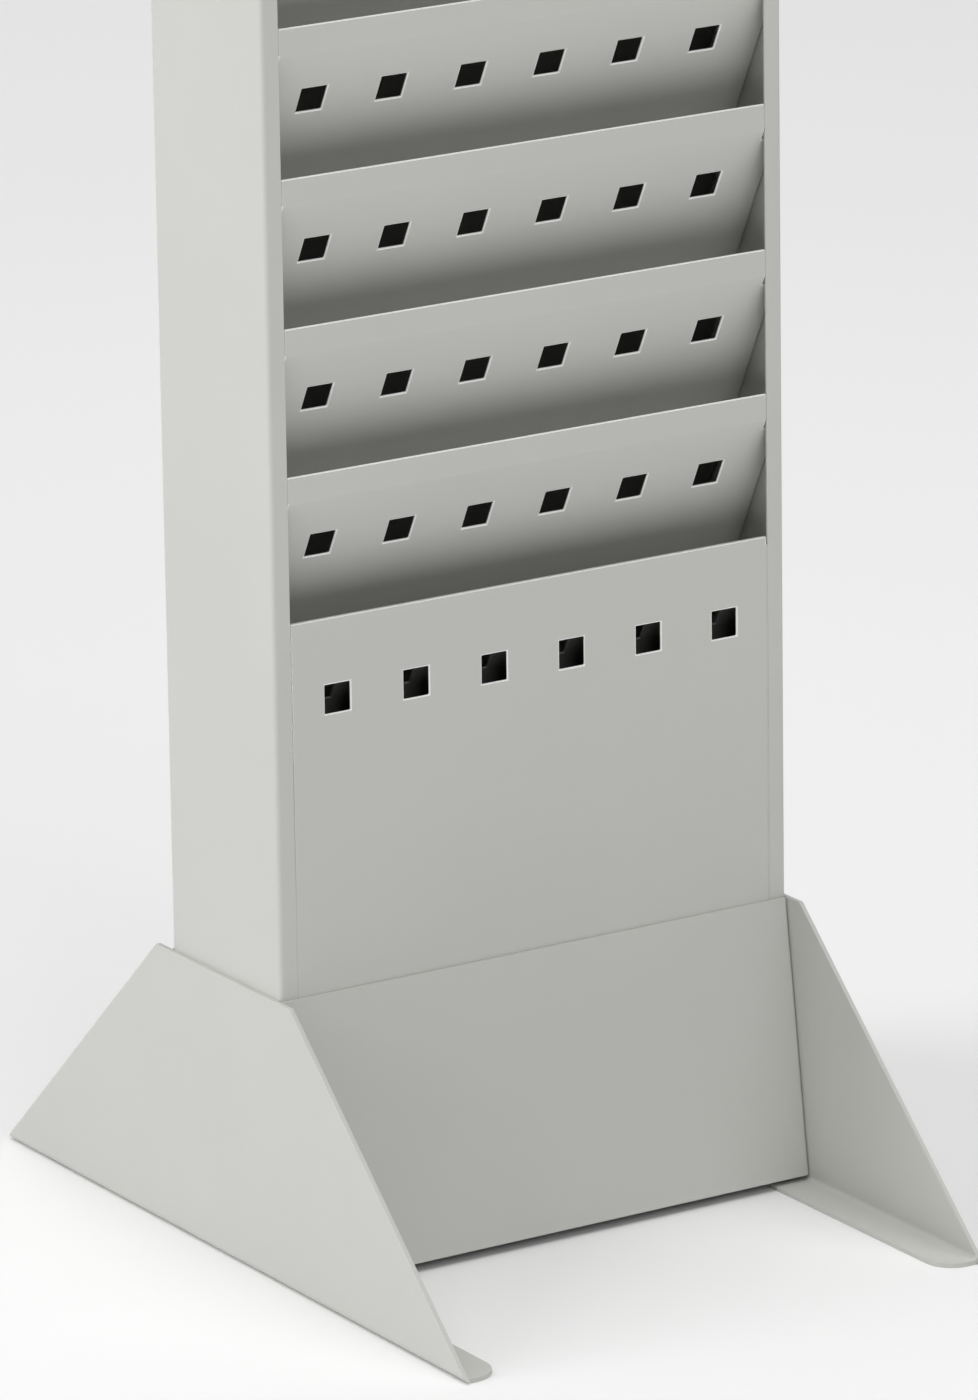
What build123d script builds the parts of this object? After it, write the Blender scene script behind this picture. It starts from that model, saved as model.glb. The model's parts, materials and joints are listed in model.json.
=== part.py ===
from build123d import *
import os
from math import cos, radians, sin, tan

# Sheet-steel magazine rack: one column of sloped pockets on a base of two foot plates and
# two skirts. Millimetres, +Z up. The origin is on the floor, under the middle of the rack;
# -Y is the front, +X is the rack's right-hand side seen from the front.

# ---- sheet metal ----
sheet = 1.2                 # thickness of the column's sheet
tight_bend = 0.8            # inside radius of a plain fold
soft_bend = 3.0             # inside radius of a pocket panel's folds
seam_gap = 0.5              # open seam beside the lower front panel
band_gap = 0.2              # dressed seam at the ends of a pocket's front band
fit_gap = 0.3               # clearance between pieces that slide past each other

# ---- column ----
opening_width = 242.0       # clear width between the front flanges
front_flange = 8.5          # width of a side panel's front flange, seen from the front
rear_flange = 14.0          # width of a side panel's rear flange
column_depth = 90.0
header_height = 87.0        # upright part of the header above its fold

# ---- pockets ----
pocket_count = 12
pocket_pitch = 64.0         # from one pocket panel's top edge to the next
pocket_angle = 27.3         # slope of a pocket panel, in degrees from upright
band_height = 11.7          # upright front band, from its top edge to the fold
lower_panel_top = 293.0     # top edge of the lower front panel above the floor
side_tab = 9.0              # tabs that hold a pocket panel to the side panels
rear_tab = 12.0             # tab that holds a pocket panel to the back panel

# ---- square holes ----
hole_side = 12.7
hole_count = 6
hole_spacing = 39.3
hole_below_fold = 19.6      # from the fold to the upper side of the holes, along the slope

# ---- base ----
foot_sheet = 2.0
foot_bend = 2.0             # inside radius of the fold along the floor
foot_height = 128.0
foot_overhang = 10.5        # how far the top of a foot reaches past the column
foot_reach = 148.5          # how far the bottom of a foot reaches past the column
foot_corner = 1.0           # rounding of a foot's corners
floor_flange = 19.5         # width of the flange on the floor, over the foot's sheet
floor_flange_setback = 3.0  # from the tip of a foot to the end of its floor flange
floor_flange_corner = 13.0
skirt_reach = 18.0          # how far the bottom of a skirt stands out from the column

# ---- fasteners that hold the feet to the column ----
stud_diameter = 6.0
stud_length = 13.0
stud_clearance = 0.3        # between a stud and its hole, all round
thread_play = 0.15          # between a stud and its nut or washer, all round
stud_inset = 20.0           # from the column's front or back to the studs
lower_stud_height = 38.0
stud_rise = 56.0            # from the lower studs to the upper ones
washer_diameter = 12.5
washer_thickness = 1.6
nut_across_flats = 10.0
nut_height = 5.0

# ---- worked out from the sizes above ----
column_width = opening_width + 2 * front_flange
inner_half = column_width / 2 - sheet
front_face = -column_depth / 2
back_face = column_depth / 2
rear_wall = back_face - 2 * sheet       # face of the back panel, inside the column
column_bottom = foot_sheet + foot_bend + fit_gap
header_fold = lower_panel_top + pocket_pitch * (pocket_count + 1) - band_height
rack_height = header_fold + header_height
slope = radians(pocket_angle)

os.makedirs("parts", exist_ok=True)


def folded_outline(skin, thickness, inside_radius):
    """Section of a folded sheet. `skin` is one face of it, with the metal to its left."""
    points = [Vector(*point) for point in skin]
    headings = [(after - before).normalized() for before, after in zip(points, points[1:])]
    lefts = [Vector(-heading.Y, heading.X) for heading in headings]
    far_side = [points[0] + lefts[0] * thickness]
    near_radii = []
    far_radii = []
    for corner, before, after in zip(points[1:-1], lefts, lefts[1:]):
        far_side.append(corner + (before + after) * (thickness / (1 + before.dot(after))))
        turns_left = before.cross(after).Z > 0
        near_radii.append(inside_radius + thickness * turns_left)
        far_radii.append(inside_radius + thickness * (not turns_left))
    far_side.append(points[-1] + lefts[-1] * thickness)
    radii = [0, *near_radii, 0, 0, *reversed(far_radii), 0]
    return make_face(FilletPolyline(*points, *reversed(far_side), radius=radii, close=True))


def slab(x_range, y_range, z_range):
    """Rectangular block between three pairs of limits."""
    limits = (x_range, y_range, z_range)
    sizes = [high - low for low, high in limits]
    middle = [(low + high) / 2 for low, high in limits]
    return Pos(*middle) * Box(*sizes)


def hole_places():
    """Distances of the square holes from the middle of their row."""
    return [(index - (hole_count - 1) / 2) * hole_spacing for index in range(hole_count)]


def pocket_panel(top, band, band_face):
    """Panel with an upright front band that then slopes back and down to the back panel.

    `top` is the height of its top edge, `band` the height of its upright band and
    `band_face` the y of the band's front."""
    fold = top - band
    run = rear_wall - sheet - band_face
    slope_end = fold - run / tan(slope)
    skin = [
        (band_face, top),
        (band_face, fold),
        (rear_wall - sheet, slope_end),
        (rear_wall - sheet, slope_end - rear_tab),
    ]
    strip = Plane.YZ * folded_outline(skin, sheet, soft_bend)
    panel = extrude(strip, amount=opening_width / 2 - band_gap, both=True)

    # Behind the front flanges the slope widens to the side panels and is tabbed to them.
    down_slope = Vector(0, sin(slope), -cos(slope))
    fold_line = Vector(0, band_face, fold)
    wide_from = (front_face + sheet + tight_bend + fit_gap - band_face) / sin(slope)
    wide_to = run / sin(slope) - soft_bend
    channel = folded_outline(
        [(-inner_half, side_tab), (-inner_half, 0), (inner_half, 0), (inner_half, side_tab)],
        sheet,
        tight_bend,
    )
    start = Plane(origin=fold_line + down_slope * wide_from, x_dir=(-1, 0, 0), z_dir=down_slope)
    wide_slope = extrude(start * channel, amount=wide_to - wide_from)
    column_room = slab((-inner_half, inner_half), (front_face, rear_wall), (0, rack_height))
    panel += wide_slope & column_room

    hole_centre = fold_line + down_slope * (hole_below_fold + hole_side / 2)
    hole_plane = Plane(origin=hole_centre, x_dir=(1, 0, 0), z_dir=(0, -cos(slope), -sin(slope)))
    for place in hole_places():
        panel -= hole_plane * Pos(place, 0, 0) * Box(hole_side, hole_side, 4 * sheet)
    return panel


def lower_front_panel():
    """Flat cover below the pockets. Its holes line up with the panel behind it."""
    half_width = opening_width / 2 - seam_gap
    depth_range = (front_face, front_face + sheet)
    cover = slab((-half_width, half_width), depth_range, (column_bottom, lower_panel_top))
    hole_height = lower_panel_top - band_height - hole_below_fold * cos(slope) - hole_side / 2
    for place in hole_places():
        cover -= Pos(place, front_face, hole_height) * Box(hole_side, 4 * sheet, hole_side)
    return cover


def stud_places():
    """The (y, z) of the four studs of one foot."""
    heights = (lower_stud_height, lower_stud_height + stud_rise)
    depths = (front_face + stud_inset, back_face - stud_inset)
    return [(depth, height) for height in heights for depth in depths]


def stud_cylinders(diameter, start, length):
    """Cylinders along X on the left-hand studs' axes, `start` in from the foot's face."""
    plane = Plane(origin=(-column_width / 2 + start, 0, 0), x_dir=(0, 1, 0), z_dir=(1, 0, 0))
    return [
        extrude(plane * Pos(depth, height) * Circle(diameter / 2), amount=length)
        for depth, height in stud_places()
    ]


def left_side_panel():
    """Side wall with a narrow flange at the front and a wider one at the back."""
    outside = -column_width / 2
    skin = [
        (outside + rear_flange, back_face),
        (outside, back_face),
        (outside, front_face),
        (outside + front_flange, front_face),
    ]
    section = folded_outline(skin, sheet, tight_bend)
    panel = extrude(Pos(0, 0, column_bottom) * section, amount=rack_height - column_bottom)
    for bore in stud_cylinders(stud_diameter + 2 * stud_clearance, -sheet, 3 * sheet):
        panel -= bore
    return panel


def back_panel():
    """Flat sheet on the inner faces of the side panels' rear flanges."""
    half_width = inner_half - tight_bend
    return slab(
        (-half_width, half_width), (rear_wall, rear_wall + sheet), (column_bottom, rack_height)
    )


def top_cap():
    """Plate with its side edges folded down, set in flush at the top of the column."""
    skin = [
        (inner_half, rack_height - rear_tab),
        (inner_half, rack_height),
        (-inner_half, rack_height),
        (-inner_half, rack_height - rear_tab),
    ]
    cap = extrude(Plane.XZ * folded_outline(skin, sheet, tight_bend), amount=back_face, both=True)
    front_edge = front_face + sheet
    plan = Rectangle(2 * inner_half, rear_wall - front_edge)
    plan = fillet(plan.vertices(), tight_bend)
    return cap & extrude(Pos(0, (front_edge + rear_wall) / 2, 0) * plan, amount=rack_height)


def left_foot():
    """Upright trapezoid outside the side panel, with a flange turned in along the floor."""
    outside = -column_width / 2 - foot_sheet
    tip = back_face + foot_reach
    top_end = back_face + foot_overhang
    skin = [(outside, foot_height), (outside, 0), (outside + floor_flange, 0)]
    section = Plane.XZ * folded_outline(skin, foot_sheet, foot_bend)
    foot = extrude(section, amount=tip, both=True)

    corners = [(-top_end, foot_height), (-tip, 0), (tip, 0), (top_end, foot_height)]
    trapezoid = make_face(FilletPolyline(*corners, radius=[foot_corner] * 4, close=True))
    foot &= extrude(Plane.YZ.offset(outside) * trapezoid, amount=floor_flange)

    flange_end = tip - floor_flange_setback
    plan = Rectangle(2 * floor_flange, 2 * flange_end)
    plan = fillet(plan.vertices(), floor_flange_corner)
    flange_plan = extrude(Pos(outside, 0, 0) * plan, amount=foot_height)
    upright = slab((outside, outside + foot_sheet), (-tip, tip), (0, foot_height))
    return foot & (flange_plan + upright)


def skirt():
    """Front skirt: a sloped sheet between the feet, with a tapered tab at each end."""
    rise = foot_height - column_bottom
    lean = Vector(0, sheet - skirt_reach, -rise).normalized()
    bottom_skin = Vector(0, front_face - skirt_reach, column_bottom)
    outside = column_width / 2
    channel = folded_outline(
        [(-outside, skirt_reach), (-outside, 0), (outside, 0), (outside, skirt_reach)],
        sheet,
        tight_bend,
    )
    start = Plane(origin=bottom_skin + lean * sheet, x_dir=(1, 0, 0), z_dir=-lean)
    overlong = extrude(start * channel, amount=rise + skirt_reach)
    room = slab(
        (-outside, outside),
        (front_face - skirt_reach - sheet, front_face),
        (column_bottom, foot_height),
    )
    return overlong & room


def left_nuts():
    """Hexagon nuts on the studs, inside the column."""
    start = sheet + washer_thickness
    plane = Plane(origin=(-column_width / 2 + start, 0, 0), x_dir=(0, 1, 0), z_dir=(1, 0, 0))
    hexagon = RegularPolygon(nut_across_flats / 2, 6, major_radius=False)
    hexagon -= Circle(stud_diameter / 2 + thread_play)
    return [
        extrude(plane * Pos(depth, height) * hexagon, amount=nut_height)
        for depth, height in stud_places()
    ]


def left_washers():
    """Plain washers between the nuts and the side panel."""
    discs = stud_cylinders(washer_diameter, sheet, washer_thickness)
    bores = stud_cylinders(stud_diameter + 2 * thread_play, sheet, washer_thickness)
    return [disc - bore for disc, bore in zip(discs, bores)]


def save(name, shape):
    export_step(shape, f"parts/{name}.step")


def save_pair(name, shape):
    """One left-hand piece and its mirror image on the right."""
    save(f"left_{name}", shape)
    save(f"right_{name}", mirror(shape, about=Plane.YZ))


save_pair("side_panel", left_side_panel())
save_pair("foot", left_foot())
save_pair("weld_studs", Compound(children=stud_cylinders(stud_diameter, 0, stud_length)))
save_pair("washers", Compound(children=left_washers()))
save_pair("nuts", Compound(children=left_nuts()))

save("back_panel", back_panel())
save("top_cap", top_cap())
save("lower_front_panel", lower_front_panel())
save("front_skirt", skirt())
save("rear_skirt", mirror(skirt(), about=Plane.XZ))

save("header_panel", pocket_panel(rack_height, header_height, front_face))
save("inner_pocket_panel", pocket_panel(lower_panel_top, band_height, front_face + sheet))
for number in range(1, pocket_count + 1):
    edge_height = lower_panel_top + pocket_pitch * number
    save(f"pocket_panel_{number:02d}", pocket_panel(edge_height, band_height, front_face))
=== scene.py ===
import bpy
import json
import math
from mathutils import Matrix, Vector


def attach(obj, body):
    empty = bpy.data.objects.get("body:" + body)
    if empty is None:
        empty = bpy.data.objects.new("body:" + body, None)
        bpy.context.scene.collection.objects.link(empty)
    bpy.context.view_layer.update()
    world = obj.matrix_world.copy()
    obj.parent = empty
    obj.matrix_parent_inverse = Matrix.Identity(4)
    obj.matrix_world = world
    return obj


# The looks of a light grey powder-coated magazine rack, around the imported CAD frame. Metres.

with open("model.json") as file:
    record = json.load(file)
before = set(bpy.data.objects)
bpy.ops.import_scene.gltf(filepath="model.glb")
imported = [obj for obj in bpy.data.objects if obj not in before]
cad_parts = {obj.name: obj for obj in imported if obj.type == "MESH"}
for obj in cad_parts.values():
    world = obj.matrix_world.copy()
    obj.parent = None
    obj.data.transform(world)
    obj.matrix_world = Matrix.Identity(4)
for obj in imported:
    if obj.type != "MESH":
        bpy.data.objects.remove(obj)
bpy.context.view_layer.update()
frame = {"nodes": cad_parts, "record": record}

MM = 0.001

# ---- camera: long lens, from the rack's front left and above; angles in radians, lens in mm ----
CAMERA_TARGET = Vector((-0.0492, -0.087, 0.2583))
CAMERA_DISTANCE = 4.10
CAMERA_AZIMUTH = 0.5622
CAMERA_ELEVATION = 0.2864
CAMERA_ROLL = -0.0146
CAMERA_LENS = 250.07
CAMERA_SENSOR = 36.0

# ---- paint and plating ----
PAINT = (0.575, 0.58, 0.55, 1.0)
# painted highlight: near-white colour on the rounded edges of the bright-edged panels
PAINTED_EDGE_HIGHLIGHT = (0.93, 0.94, 0.93, 1.0)
ZINC = (0.62, 0.63, 0.64, 1.0)
SATIN_ROUGHNESS = (0.40, 0.50)     # of the coat, where it is smoothest and roughest
EDGE_ROUGHNESS = (0.22, 0.32)
ZINC_ROUGHNESS = (0.22, 0.42)
COAT_TONES = (0.985, 1.015)        # darkest and lightest clouding, as shares of the paint's colour
ZINC_TONES = (0.9, 1.08)
COAT_SPECULAR = 0.4
PAINTED_SHADE_TONE = 0.3                    # painted shade: tone deep inside the column, against the tone in front
POCKET_SHADE_DEPTH = -12.0 * MM     # y at which the painted shade starts inside the column
COVER_SHADE_DEPTH = -43.0 * MM      # the same behind the lower front panel
SHADE_DEEPENING = 12.0 * MM               # depth over which the painted shade deepens

# ---- noise layers: scale, counted over a metre, and detail ----
CLOUDING = (9.0, 3.0)
SHEEN_PATCHES = (40.0, 3.0)
ORANGE_PEEL = (420.0, 2.0)
POWDER_GRAIN = (2600.0, 1.0)
ZINC_BLOTCHES = (300.0, 4.0)
ZINC_PATCHES = (900.0, 3.0)
FLOOR_CLOUDING = (0.8, 2.0)
NOISE_BAND = (0.3, 0.7)            # where most of a noise texture's values lie
RELIEF_STRENGTH = 0.10
PEEL_HEIGHT = 0.4 * MM
GRAIN_HEIGHT = 0.1 * MM

# ---- rounded edges ----
EDGE_WIDTH = 0.25 * MM             # of all nodes but the bright-edged panels
PANEL_EDGE_WIDTH = 0.55 * MM       # of the bright-edged panels, whose rounded edges carry the painted highlight
BRIGHT_EDGED = ("pocket_panel", "lower_front_panel")   # starts of these panels' names
MERGE_DISTANCE = 0.01 * MM
FLAT_ANGLE = math.radians(0.5)     # faces closer than this are one flat face
SHARP_ANGLE = math.radians(40)     # edges sharper than this are rounded
EDGE_SEGMENTS = 2
FACE_WEIGHT = 100                  # large faces decide the shading beside a rounded edge

# ---- dressed welds along the front panels' ends ----
SEAM_GAP = 0.5 * MM                # between a flange and the lower front panel
BAND_GAP = 0.2 * MM                # between a flange and a pocket panel's band
SEAM_LOW_LAP = 1.0 * MM            # of a seam weld behind the top of the skirt
SEAM_TOP_DROP = 0.4 * MM           # from the panel's top edge to a seam weld's
RIGHT_NOTCH = 3.0 * MM             # left open at the top of the right seam
BAND_HEIGHT = 11.0 * MM            # from a band's top edge to the low end of its welds
BAND_TOP_DROP = 0.6 * MM
BEAD_THICKNESS = 0.8 * MM
BEAD_STEP = 0.8 * MM               # longest step along a bead
FEWEST_STEPS = 3
BURIED = 0.02 * MM                 # how far a bead's edges lie under the sheets' faces
PROUD = 0.005 * MM                 # how far it stands over the panel's rounded edge
SHALLOW_GROOVE = 0.25 * MM         # of the right seam and the bands
LEFT_GROOVE = 0.60 * MM            # of the left seam, where it is deepest
UPPER_RISE = 0.15 * MM             # how much shallower the left groove gets above its deepest stretch
LOWER_RISE = 0.40 * MM             # the same below it
UPPER_RISE_SPAN = (228.0 * MM, 236.0 * MM)
LOWER_RISE_SPAN = (135.0 * MM, 210.0 * MM)
NICKS_START = (232.0 * MM, 238.0 * MM)
NICKS_END = (284.0 * MM, 290.0 * MM)
LEFT_WANDER = 0.1                  # how far each groove's depth strays, as a share of the depth
NICK_WANDER = 4.0                  # added along the nicks
RIGHT_WANDER = 0.15
BAND_WANDER = 0.5
LEFT_SPILL = 0.15                  # share of the left groove's depth that cuts into the panel's edge
NICK_SPILL = 0.55                  # added along the nicks
LEFT_SEED = 1.0
RIGHT_SEED = 4.0
BAND_SEED_TURN = 100               # makes each band's seed differ, by its height in metres
FACE_LAP = 0.1 * MM                # how far a bead's face runs on past the gap, or past the rounded edge
EDGE_START = 0.07 * MM             # from the gap to where the bead climbs on to the rounded edge
EDGE_MIDDLE = 0.3 * MM
GROOVE_WIDTH = 0.8                 # of the gap's width
GROOVE_BOTTOM = 1.1                # depth in the middle of the groove, against its sides
BACK_WIDTH = 0.3                   # of the gap's width
WANDER_WAVES = ((0.9, 1.0), (2.3, 2.1), (5.1, 0.7), (11.7, 3.3))   # length in mm, turn by the seed

# ---- studio ----
FLOOR_PAINT = (0.93, 0.93, 0.93, 1.0)
FLOOR_TONES = (0.985, 1.0)
FLOOR_ROUGHNESS = 0.85
FLOOR_SPECULAR = 0.1
FLOOR_HALF = 30.0
LIGHTS_AIM = (0.0, 0.0, 0.5)
AREA_LIGHTS = (                    # name, place, width, height, watts
    ("key", (-4.0, 1.6, 1.6), 1.6, 2.0, 63.0),
    ("side", (-4.0, -0.1, 2.4), 1.0, 2.0, 36.0),
    ("front", (-0.6, -4.0, 2.6), 2.4, 2.0, 45.0),
    ("fill", (1.6, -4.0, 2.2), 2.4, 2.0, 8.0),
)
SKY_STRENGTH = 2.07
SKY_ANGLE = math.radians(70)
WORLD_COLOUR = (1.0, 1.0, 1.0, 1.0)
WORLD_STRENGTH = 0.066


# ------------------------------------------------------------------ places taken from the frame
def box_of(name):
    """The low and the high corner of a CAD node."""
    node = frame["nodes"][name]
    places = [node.matrix_world @ vertex.co for vertex in node.data.vertices]
    return [Vector([pick(place[axis] for place in places) for axis in range(3)]) for pick in (min, max)]


PANEL_LOW, PANEL_HIGH = box_of("lower_front_panel")
FRONT_FACE = PANEL_LOW.y
FLANGE_EDGE = PANEL_HIGH.x + SEAM_GAP      # of a side panel's front flange, from the rack's middle
SEAM_TOP = PANEL_HIGH.z - SEAM_TOP_DROP
SEAM_BOTTOM = box_of("front_skirt")[1].z - SEAM_LOW_LAP


# ------------------------------------------------------------------ node helpers
def new_material(name):
    material = bpy.data.materials.new(name)
    material.use_nodes = True
    nodes = material.node_tree.nodes
    return material, nodes, material.node_tree.links, nodes["Principled BSDF"]


def noise(nodes, links, coordinates, layer):
    texture = nodes.new("ShaderNodeTexNoise")
    texture.inputs["Scale"].default_value, texture.inputs["Detail"].default_value = layer
    links.new(coordinates, texture.inputs["Vector"])
    return texture.outputs["Fac"]


def map_range(nodes, links, value, span):
    """Takes a noise value from its usual middle band to a span from low to high."""
    node = nodes.new("ShaderNodeMapRange")
    node.inputs["From Min"].default_value, node.inputs["From Max"].default_value = NOISE_BAND
    node.inputs["To Min"].default_value, node.inputs["To Max"].default_value = span
    links.new(value, node.inputs["Value"])
    return node.outputs["Result"]


def bump(nodes, links, height, distance, below=None):
    """Relief of a coat, laid over the relief below it if there is one."""
    node = nodes.new("ShaderNodeBump")
    node.inputs["Strength"].default_value = RELIEF_STRENGTH
    node.inputs["Distance"].default_value = distance
    links.new(height, node.inputs["Height"])
    if below is not None:
        links.new(below, node.inputs["Normal"])
    return node.outputs["Normal"]


def scaled_colour(nodes, links, colour, factor):
    """One colour, made lighter or darker by a factor."""
    node = nodes.new("ShaderNodeVectorMath")
    node.operation = "SCALE"
    node.inputs[0].default_value = colour[:3]
    links.new(factor, node.inputs["Scale"])
    return node.outputs["Vector"]


# ------------------------------------------------------------------ materials
def add_painted_shade(nodes, links, place, tone, depth):
    """Darkens a tone over the stretch behind a depth, as painted shade."""
    apart = nodes.new("ShaderNodeSeparateXYZ")
    links.new(place, apart.inputs[0])
    # coat holds the painted shade: 1 in front, darker deep inside
    coat = nodes.new("ShaderNodeMapRange")
    coat.interpolation_type = "SMOOTHSTEP"
    coat.inputs["From Min"].default_value = depth
    coat.inputs["From Max"].default_value = depth + SHADE_DEEPENING
    coat.inputs["To Min"].default_value = 1.0
    coat.inputs["To Max"].default_value = PAINTED_SHADE_TONE
    links.new(apart.outputs["Y"], coat.inputs["Value"])
    product = nodes.new("ShaderNodeMath")
    product.operation = "MULTIPLY"
    links.new(tone, product.inputs[0])
    links.new(coat.outputs["Result"], product.inputs[1])
    return product.outputs["Value"]


def paint_material(name, colour, roughness, shade_depth=None):
    """Satin powder coat: fine orange peel, faint clouding and a slightly uneven sheen."""
    material, nodes, links, shader = new_material(name)
    place = nodes.new("ShaderNodeTexCoord").outputs["Object"]
    tone = map_range(nodes, links, noise(nodes, links, place, CLOUDING), COAT_TONES)
    # painted shade: the colour darkens deep inside the column
    if shade_depth is not None:
        tone = add_painted_shade(nodes, links, place, tone, shade_depth)
    links.new(scaled_colour(nodes, links, colour, tone), shader.inputs["Base Color"])
    sheen = map_range(nodes, links, noise(nodes, links, place, SHEEN_PATCHES), roughness)
    links.new(sheen, shader.inputs["Roughness"])
    peel = bump(nodes, links, noise(nodes, links, place, ORANGE_PEEL), PEEL_HEIGHT)
    grain = bump(nodes, links, noise(nodes, links, place, POWDER_GRAIN), GRAIN_HEIGHT, peel)
    links.new(grain, shader.inputs["Normal"])
    shader.inputs["Specular IOR Level"].default_value = COAT_SPECULAR
    return material


def zinc_material():
    """Bright zinc plating on the nuts, washers and studs."""
    material, nodes, links, shader = new_material("zinc_plating")
    place = nodes.new("ShaderNodeTexCoord").outputs["Object"]
    blotches = map_range(nodes, links, noise(nodes, links, place, ZINC_BLOTCHES), ZINC_TONES)
    links.new(scaled_colour(nodes, links, ZINC, blotches), shader.inputs["Base Color"])
    sheen = map_range(nodes, links, noise(nodes, links, place, ZINC_PATCHES), ZINC_ROUGHNESS)
    links.new(sheen, shader.inputs["Roughness"])
    shader.inputs["Metallic"].default_value = 1.0
    return material


def floor_material():
    material, nodes, links, shader = new_material("studio_floor")
    place = nodes.new("ShaderNodeTexCoord").outputs["Object"]
    tone = map_range(nodes, links, noise(nodes, links, place, FLOOR_CLOUDING), FLOOR_TONES)
    links.new(scaled_colour(nodes, links, FLOOR_PAINT, tone), shader.inputs["Base Color"])
    shader.inputs["Roughness"].default_value = FLOOR_ROUGHNESS
    shader.inputs["Specular IOR Level"].default_value = FLOOR_SPECULAR
    return material


def finish_of(name, slot):
    """A CAD node's paint or plating; painted shade darkens the coat deep in the pockets and behind the
    cover.
    """
    if name == "inner_pocket_panel":
        return COVER_SHADED_FINISH
    if name.startswith("pocket_panel"):
        return POCKET_SHADED_FINISH
    return FINISHES[slot]


def dress_cad_nodes():
    """Gives every CAD node its finish and rounds its edges; on the bright-edged panels the rounded edges
    get a painted highlight.
    """
    slots = {row["node"]: row["material_slot"] for row in frame["record"]["subparts"]}
    for name, node in frame["nodes"].items():
        bright = name.startswith(BRIGHT_EDGED)
        node.data.materials.clear()
        node.data.materials.append(finish_of(name, slots[name]))
        weld = node.modifiers.new("weld", "WELD")
        weld.merge_threshold = MERGE_DISTANCE
        flats = node.modifiers.new("flats", "DECIMATE")
        flats.decimate_type = "DISSOLVE"
        flats.angle_limit = FLAT_ANGLE
        edge = node.modifiers.new("soft_edges", "BEVEL")
        edge.width = PANEL_EDGE_WIDTH if bright else EDGE_WIDTH
        edge.segments = EDGE_SEGMENTS
        edge.limit_method = "ANGLE"
        edge.angle_limit = SHARP_ANGLE
        edge.harden_normals = True
        # painted highlight: the near-white colour goes on the rounded edges
        if bright:
            node.data.materials.append(EDGE_HIGHLIGHT_FINISH)
            edge.material = 1
        shading = node.modifiers.new("shading", "WEIGHTED_NORMAL")
        shading.weight = FACE_WEIGHT


# ------------------------------------------------------------------ dressed welds
def wander(seed, distance):
    """A smooth irregular value from -1 to 1 along a weld."""
    turns = distance / MM * 2 * math.pi
    return sum(math.sin(turns / length + seed * turn) for length, turn in WANDER_WAVES) / len(WANDER_WAVES)


def steady(value):
    """A value that stays the same all the way up a weld."""
    return lambda height: value


def fade(height, low, high):
    """0 below low, 1 above high, straight between them."""
    return min(1.0, max(0.0, (height - low) / (high - low)))


def bead_face(half, spill):
    """A bead's face from the flange to the panel: place across the gap, depth, share of the groove."""
    return (
        (-half - FACE_LAP, BURIED, 0.0),
        (-GROOVE_WIDTH * half, 0.0, 1.0),
        (0.0, 0.0, GROOVE_BOTTOM),
        (GROOVE_WIDTH * half, 0.0, 1.0),
        (half + EDGE_START, -PROUD, spill),
        (half + EDGE_MIDDLE, -PROUD, spill / 2),
        (half + PANEL_EDGE_WIDTH + FACE_LAP, BURIED, 0.0),
    )


def add_bead(vertices, faces, side, gap, bottom, top, depth, unevenness, spill, seed):
    """Adds one closed bead that fills an upright gap, ground flush over the panel's rounded edge.

    A shallow groove is left along the gap, `depth` deep, which wanders by the share `unevenness`
    and cuts into the panel's edge by the share `spill`. All three are functions of the height.
    """
    half = gap / 2
    middle = FLANGE_EDGE - half
    back = BACK_WIDTH * half
    rows = max(FEWEST_STEPS, math.ceil((top - bottom) / BEAD_STEP))
    first = len(vertices)
    for row in range(rows + 1):
        height = bottom + (top - bottom) * row / rows
        sunk = depth(height) * max(0.0, 1 + unevenness(height) * wander(seed, height))
        for place, under, share in bead_face(half, spill(height)):
            vertices.append((side * (middle - place), FRONT_FACE + under + share * sunk, height))
        for place in (back, -back):
            vertices.append((side * (middle - place), FRONT_FACE + BEAD_THICKNESS, height))
    ring = (len(vertices) - first) // (rows + 1)
    for row in range(rows):
        low = first + row * ring
        for k in range(ring):
            after = (k + 1) % ring
            face = (low + k, low + after, low + ring + after, low + ring + k)
            faces.append(face if side < 0 else face[::-1])
    low_end = tuple(range(first + ring - 1, first - 1, -1))
    high_end = tuple(range(first + rows * ring, first + (rows + 1) * ring))
    faces.append(low_end if side < 0 else low_end[::-1])
    faces.append(high_end if side < 0 else high_end[::-1])


def add_welds(name, vertices, faces):
    mesh = bpy.data.meshes.new(name)
    mesh.from_pydata(vertices, [], faces)
    mesh.shade_smooth()
    mesh.materials.append(FINISHES["painted_steel"])
    piece = bpy.data.objects.new(name, mesh)
    bpy.context.scene.collection.objects.link(piece)
    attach(piece, "root")


def left_depth(height):
    """The left seam's groove, deepest a little above its middle."""
    above = UPPER_RISE * fade(height, *UPPER_RISE_SPAN)
    below = LOWER_RISE * (1 - fade(height, *LOWER_RISE_SPAN))
    return LEFT_GROOVE - above - below


def nicked(height):
    """1 along the nicked stretch of the left seam, 0 away from it."""
    return fade(height, *NICKS_START) * (1 - fade(height, *NICKS_END))


def left_wander(height):
    return LEFT_WANDER + NICK_WANDER * nicked(height)


def left_spill(height):
    return LEFT_SPILL + NICK_SPILL * nicked(height)


def make_seam_welds():
    """The filled seams beside the lower front panel: the left one hollow below and nicked above."""
    vertices, faces = [], []
    add_bead(vertices, faces, -1, SEAM_GAP, SEAM_BOTTOM, SEAM_TOP,
             left_depth, left_wander, left_spill, LEFT_SEED)
    add_welds("left_seam_weld", vertices, faces)
    vertices, faces = [], []
    add_bead(vertices, faces, 1, SEAM_GAP, SEAM_BOTTOM, SEAM_TOP - RIGHT_NOTCH,
             steady(SHALLOW_GROOVE), steady(RIGHT_WANDER), steady(0.0), RIGHT_SEED)
    add_welds("right_seam_weld", vertices, faces)


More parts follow.
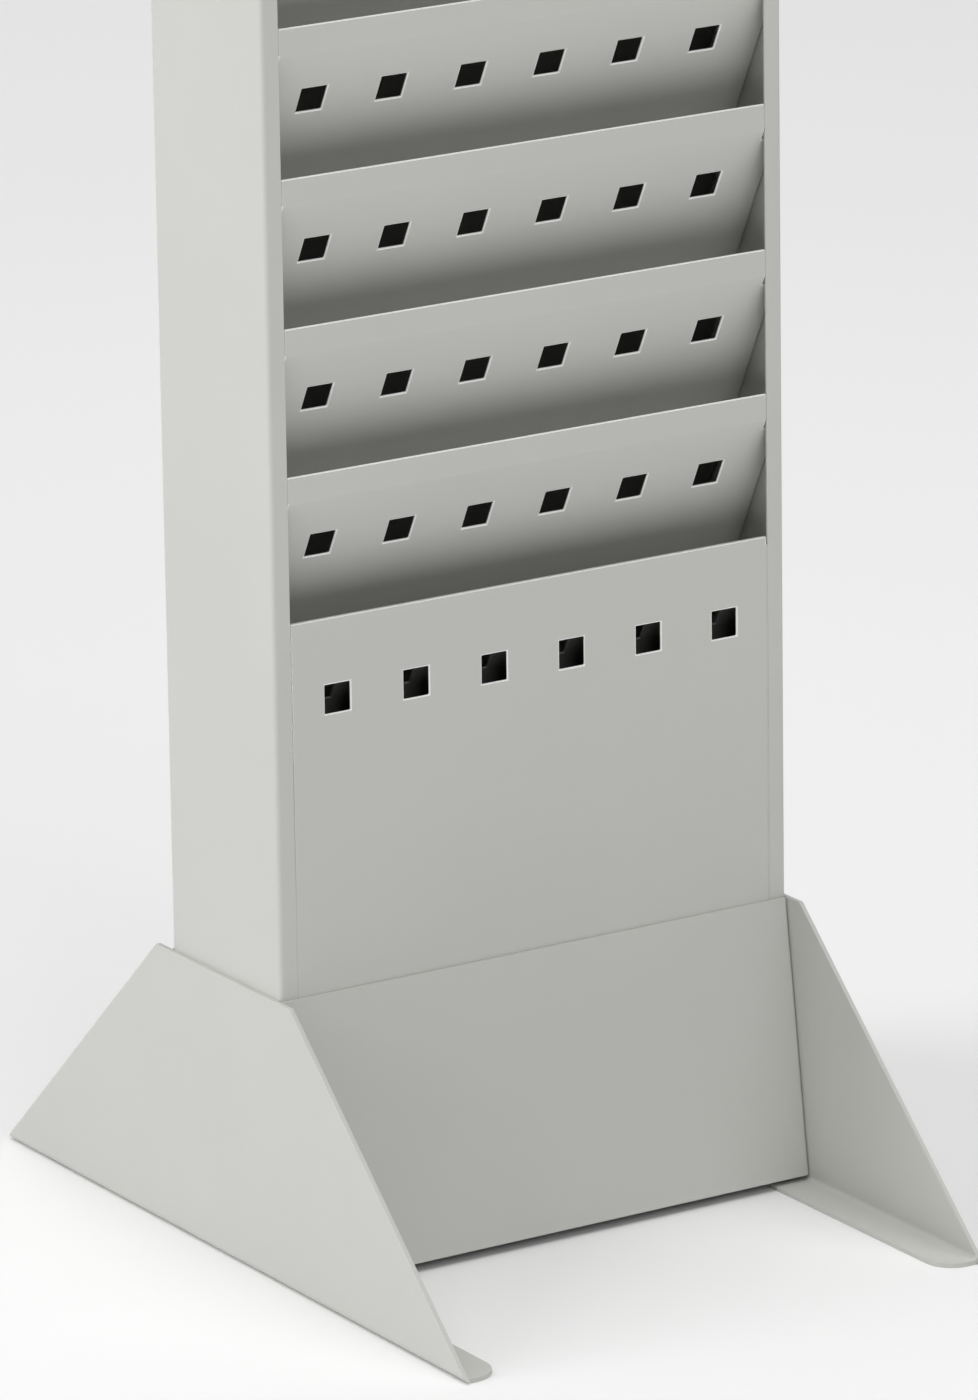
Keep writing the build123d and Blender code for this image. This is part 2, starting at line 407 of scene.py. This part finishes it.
def make_band_welds():
    """Short beads that close the gap at each end of every pocket band."""
    vertices, faces = [], []
    for name in sorted(frame["nodes"]):
        if not name.startswith("pocket_panel"):
            continue
        top = box_of(name)[1].z
        for side in (-1, 1):
            add_bead(vertices, faces, side, BAND_GAP, top - BAND_HEIGHT, top - BAND_TOP_DROP,
                     steady(SHALLOW_GROOVE), steady(BAND_WANDER), steady(0.0), top * BAND_SEED_TURN + side)
    add_welds("band_end_welds", vertices, faces)


# ------------------------------------------------------------------ studio
def make_floor():
    mesh = bpy.data.meshes.new("studio_floor")
    corners = [(x * FLOOR_HALF, y * FLOOR_HALF, 0) for x, y in ((-1, -1), (1, -1), (1, 1), (-1, 1))]
    mesh.from_pydata(corners, [], [(0, 1, 2, 3)])
    floor = bpy.data.objects.new("studio_floor", mesh)
    bpy.context.scene.collection.objects.link(floor)
    mesh.materials.append(floor_material())


def area_light(name, place, width, height, power):
    light = bpy.data.lights.new(name, "AREA")
    light.shape = "RECTANGLE"
    light.size = width
    light.size_y = height
    light.energy = power
    lamp = bpy.data.objects.new(name, light)
    lamp.location = place
    lamp.rotation_euler = (Vector(LIGHTS_AIM) - Vector(place)).to_track_quat("-Z", "Y").to_euler()
    bpy.context.scene.collection.objects.link(lamp)


def make_lights():
    for settings in AREA_LIGHTS:
        area_light(*settings)
    sky = bpy.data.lights.new("sky", "SUN")
    sky.energy = SKY_STRENGTH
    sky.angle = SKY_ANGLE
    bpy.context.scene.collection.objects.link(bpy.data.objects.new("sky", sky))
    world = bpy.data.worlds.new("studio")
    world.use_nodes = True
    background = world.node_tree.nodes["Background"]
    background.inputs["Color"].default_value = WORLD_COLOUR
    background.inputs["Strength"].default_value = WORLD_STRENGTH
    bpy.context.scene.world = world


def make_camera():
    forward = Vector((
        math.sin(CAMERA_AZIMUTH) * math.cos(CAMERA_ELEVATION),
        math.cos(CAMERA_AZIMUTH) * math.cos(CAMERA_ELEVATION),
        -math.sin(CAMERA_ELEVATION),
    ))
    level = Vector((math.cos(CAMERA_AZIMUTH), -math.sin(CAMERA_AZIMUTH), 0.0))
    upright = level.cross(forward)
    right = level * math.cos(CAMERA_ROLL) + upright * math.sin(CAMERA_ROLL)
    up = upright * math.cos(CAMERA_ROLL) - level * math.sin(CAMERA_ROLL)
    data = bpy.data.cameras.new("camera")
    data.lens = CAMERA_LENS
    data.sensor_width = CAMERA_SENSOR
    camera = bpy.data.objects.new("camera", data)
    place = CAMERA_TARGET - forward * CAMERA_DISTANCE
    camera.matrix_world = Matrix.Translation(place) @ Matrix((right, up, -forward)).transposed().to_4x4()
    bpy.context.scene.collection.objects.link(camera)
    bpy.context.scene.camera = camera


# painted highlight on the rounded edges of the bright-edged panels
EDGE_HIGHLIGHT_FINISH = paint_material("painted_edge_highlight", PAINTED_EDGE_HIGHLIGHT, EDGE_ROUGHNESS)
# painted shade deep in the pockets and behind the lower front panel
POCKET_SHADED_FINISH = paint_material("powder_coat_pockets_painted_shade", PAINT, SATIN_ROUGHNESS, POCKET_SHADE_DEPTH)
COVER_SHADED_FINISH = paint_material("powder_coat_covered_painted_shade", PAINT, SATIN_ROUGHNESS, COVER_SHADE_DEPTH)
FINISHES = {
    "painted_steel": paint_material("powder_coat", PAINT, SATIN_ROUGHNESS),
    "zinc_steel": zinc_material(),
}
dress_cad_nodes()
make_seam_welds()
make_band_welds()
make_floor()
make_lights()
make_camera()
bpy.context.scene.view_settings.view_transform = "Standard"
